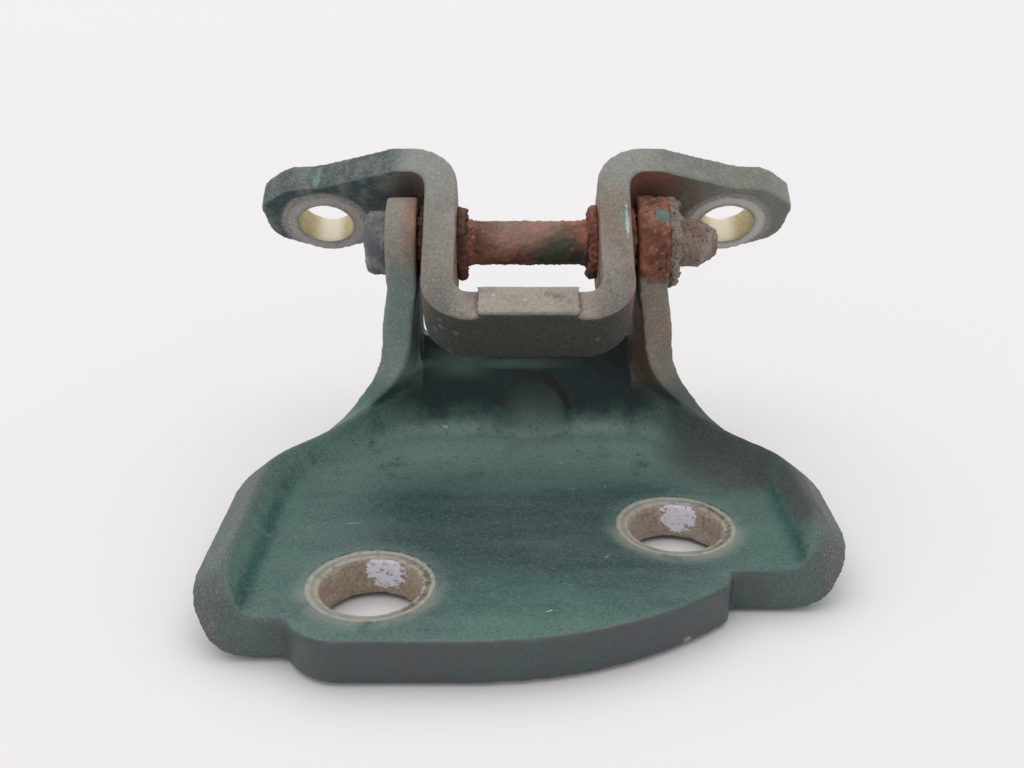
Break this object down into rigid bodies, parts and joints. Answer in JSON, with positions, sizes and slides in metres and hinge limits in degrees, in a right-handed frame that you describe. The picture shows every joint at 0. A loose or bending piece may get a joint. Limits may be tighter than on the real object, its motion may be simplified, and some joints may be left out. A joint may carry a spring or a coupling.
{
  "type": "car door hinge",
  "caption": "Pressed steel car door hinge: a dished pillar plate with upright ears, a fixed cross pin and a bent door strap with bolt lugs that swings on it.",
  "frame": {"origin": "on the flat mounting face of the pillar leaf, midway between its two bolt holes", "axes": "+X along the hinge pin towards its tapered end, +Y from the front tongue to the rear wall, +Z away from the mounting face"},
  "size_m": [0.0946, 0.0887, 0.0549],
  "materials": {
    "green_paint": "worn dark green paint",
    "worn_grey_paint": "worn grey-green paint over steel",
    "rusty_steel": "rusted steel",
    "rust_scale": "thick rust scale",
    "dark_bush": "rusted bush"
  },
  "bodies": {
    "pillar_side": {"pillar_leaf": "green_paint", "hinge_pin": "rusty_steel", "retaining_washer": "rust_scale"},
    "door_side": {"door_leaf": "worn_grey_paint", "bush_left": "dark_bush", "bush_right": "dark_bush"}
  },
  "joints": [
    {"name": "door_swing", "type": "hinge", "parent": "pillar_side", "child": "door_side", "pos_m": [0, 0.0481, 0.0391], "axis": [1, 0, 0], "range_deg": [-50, 30]}
  ]
}
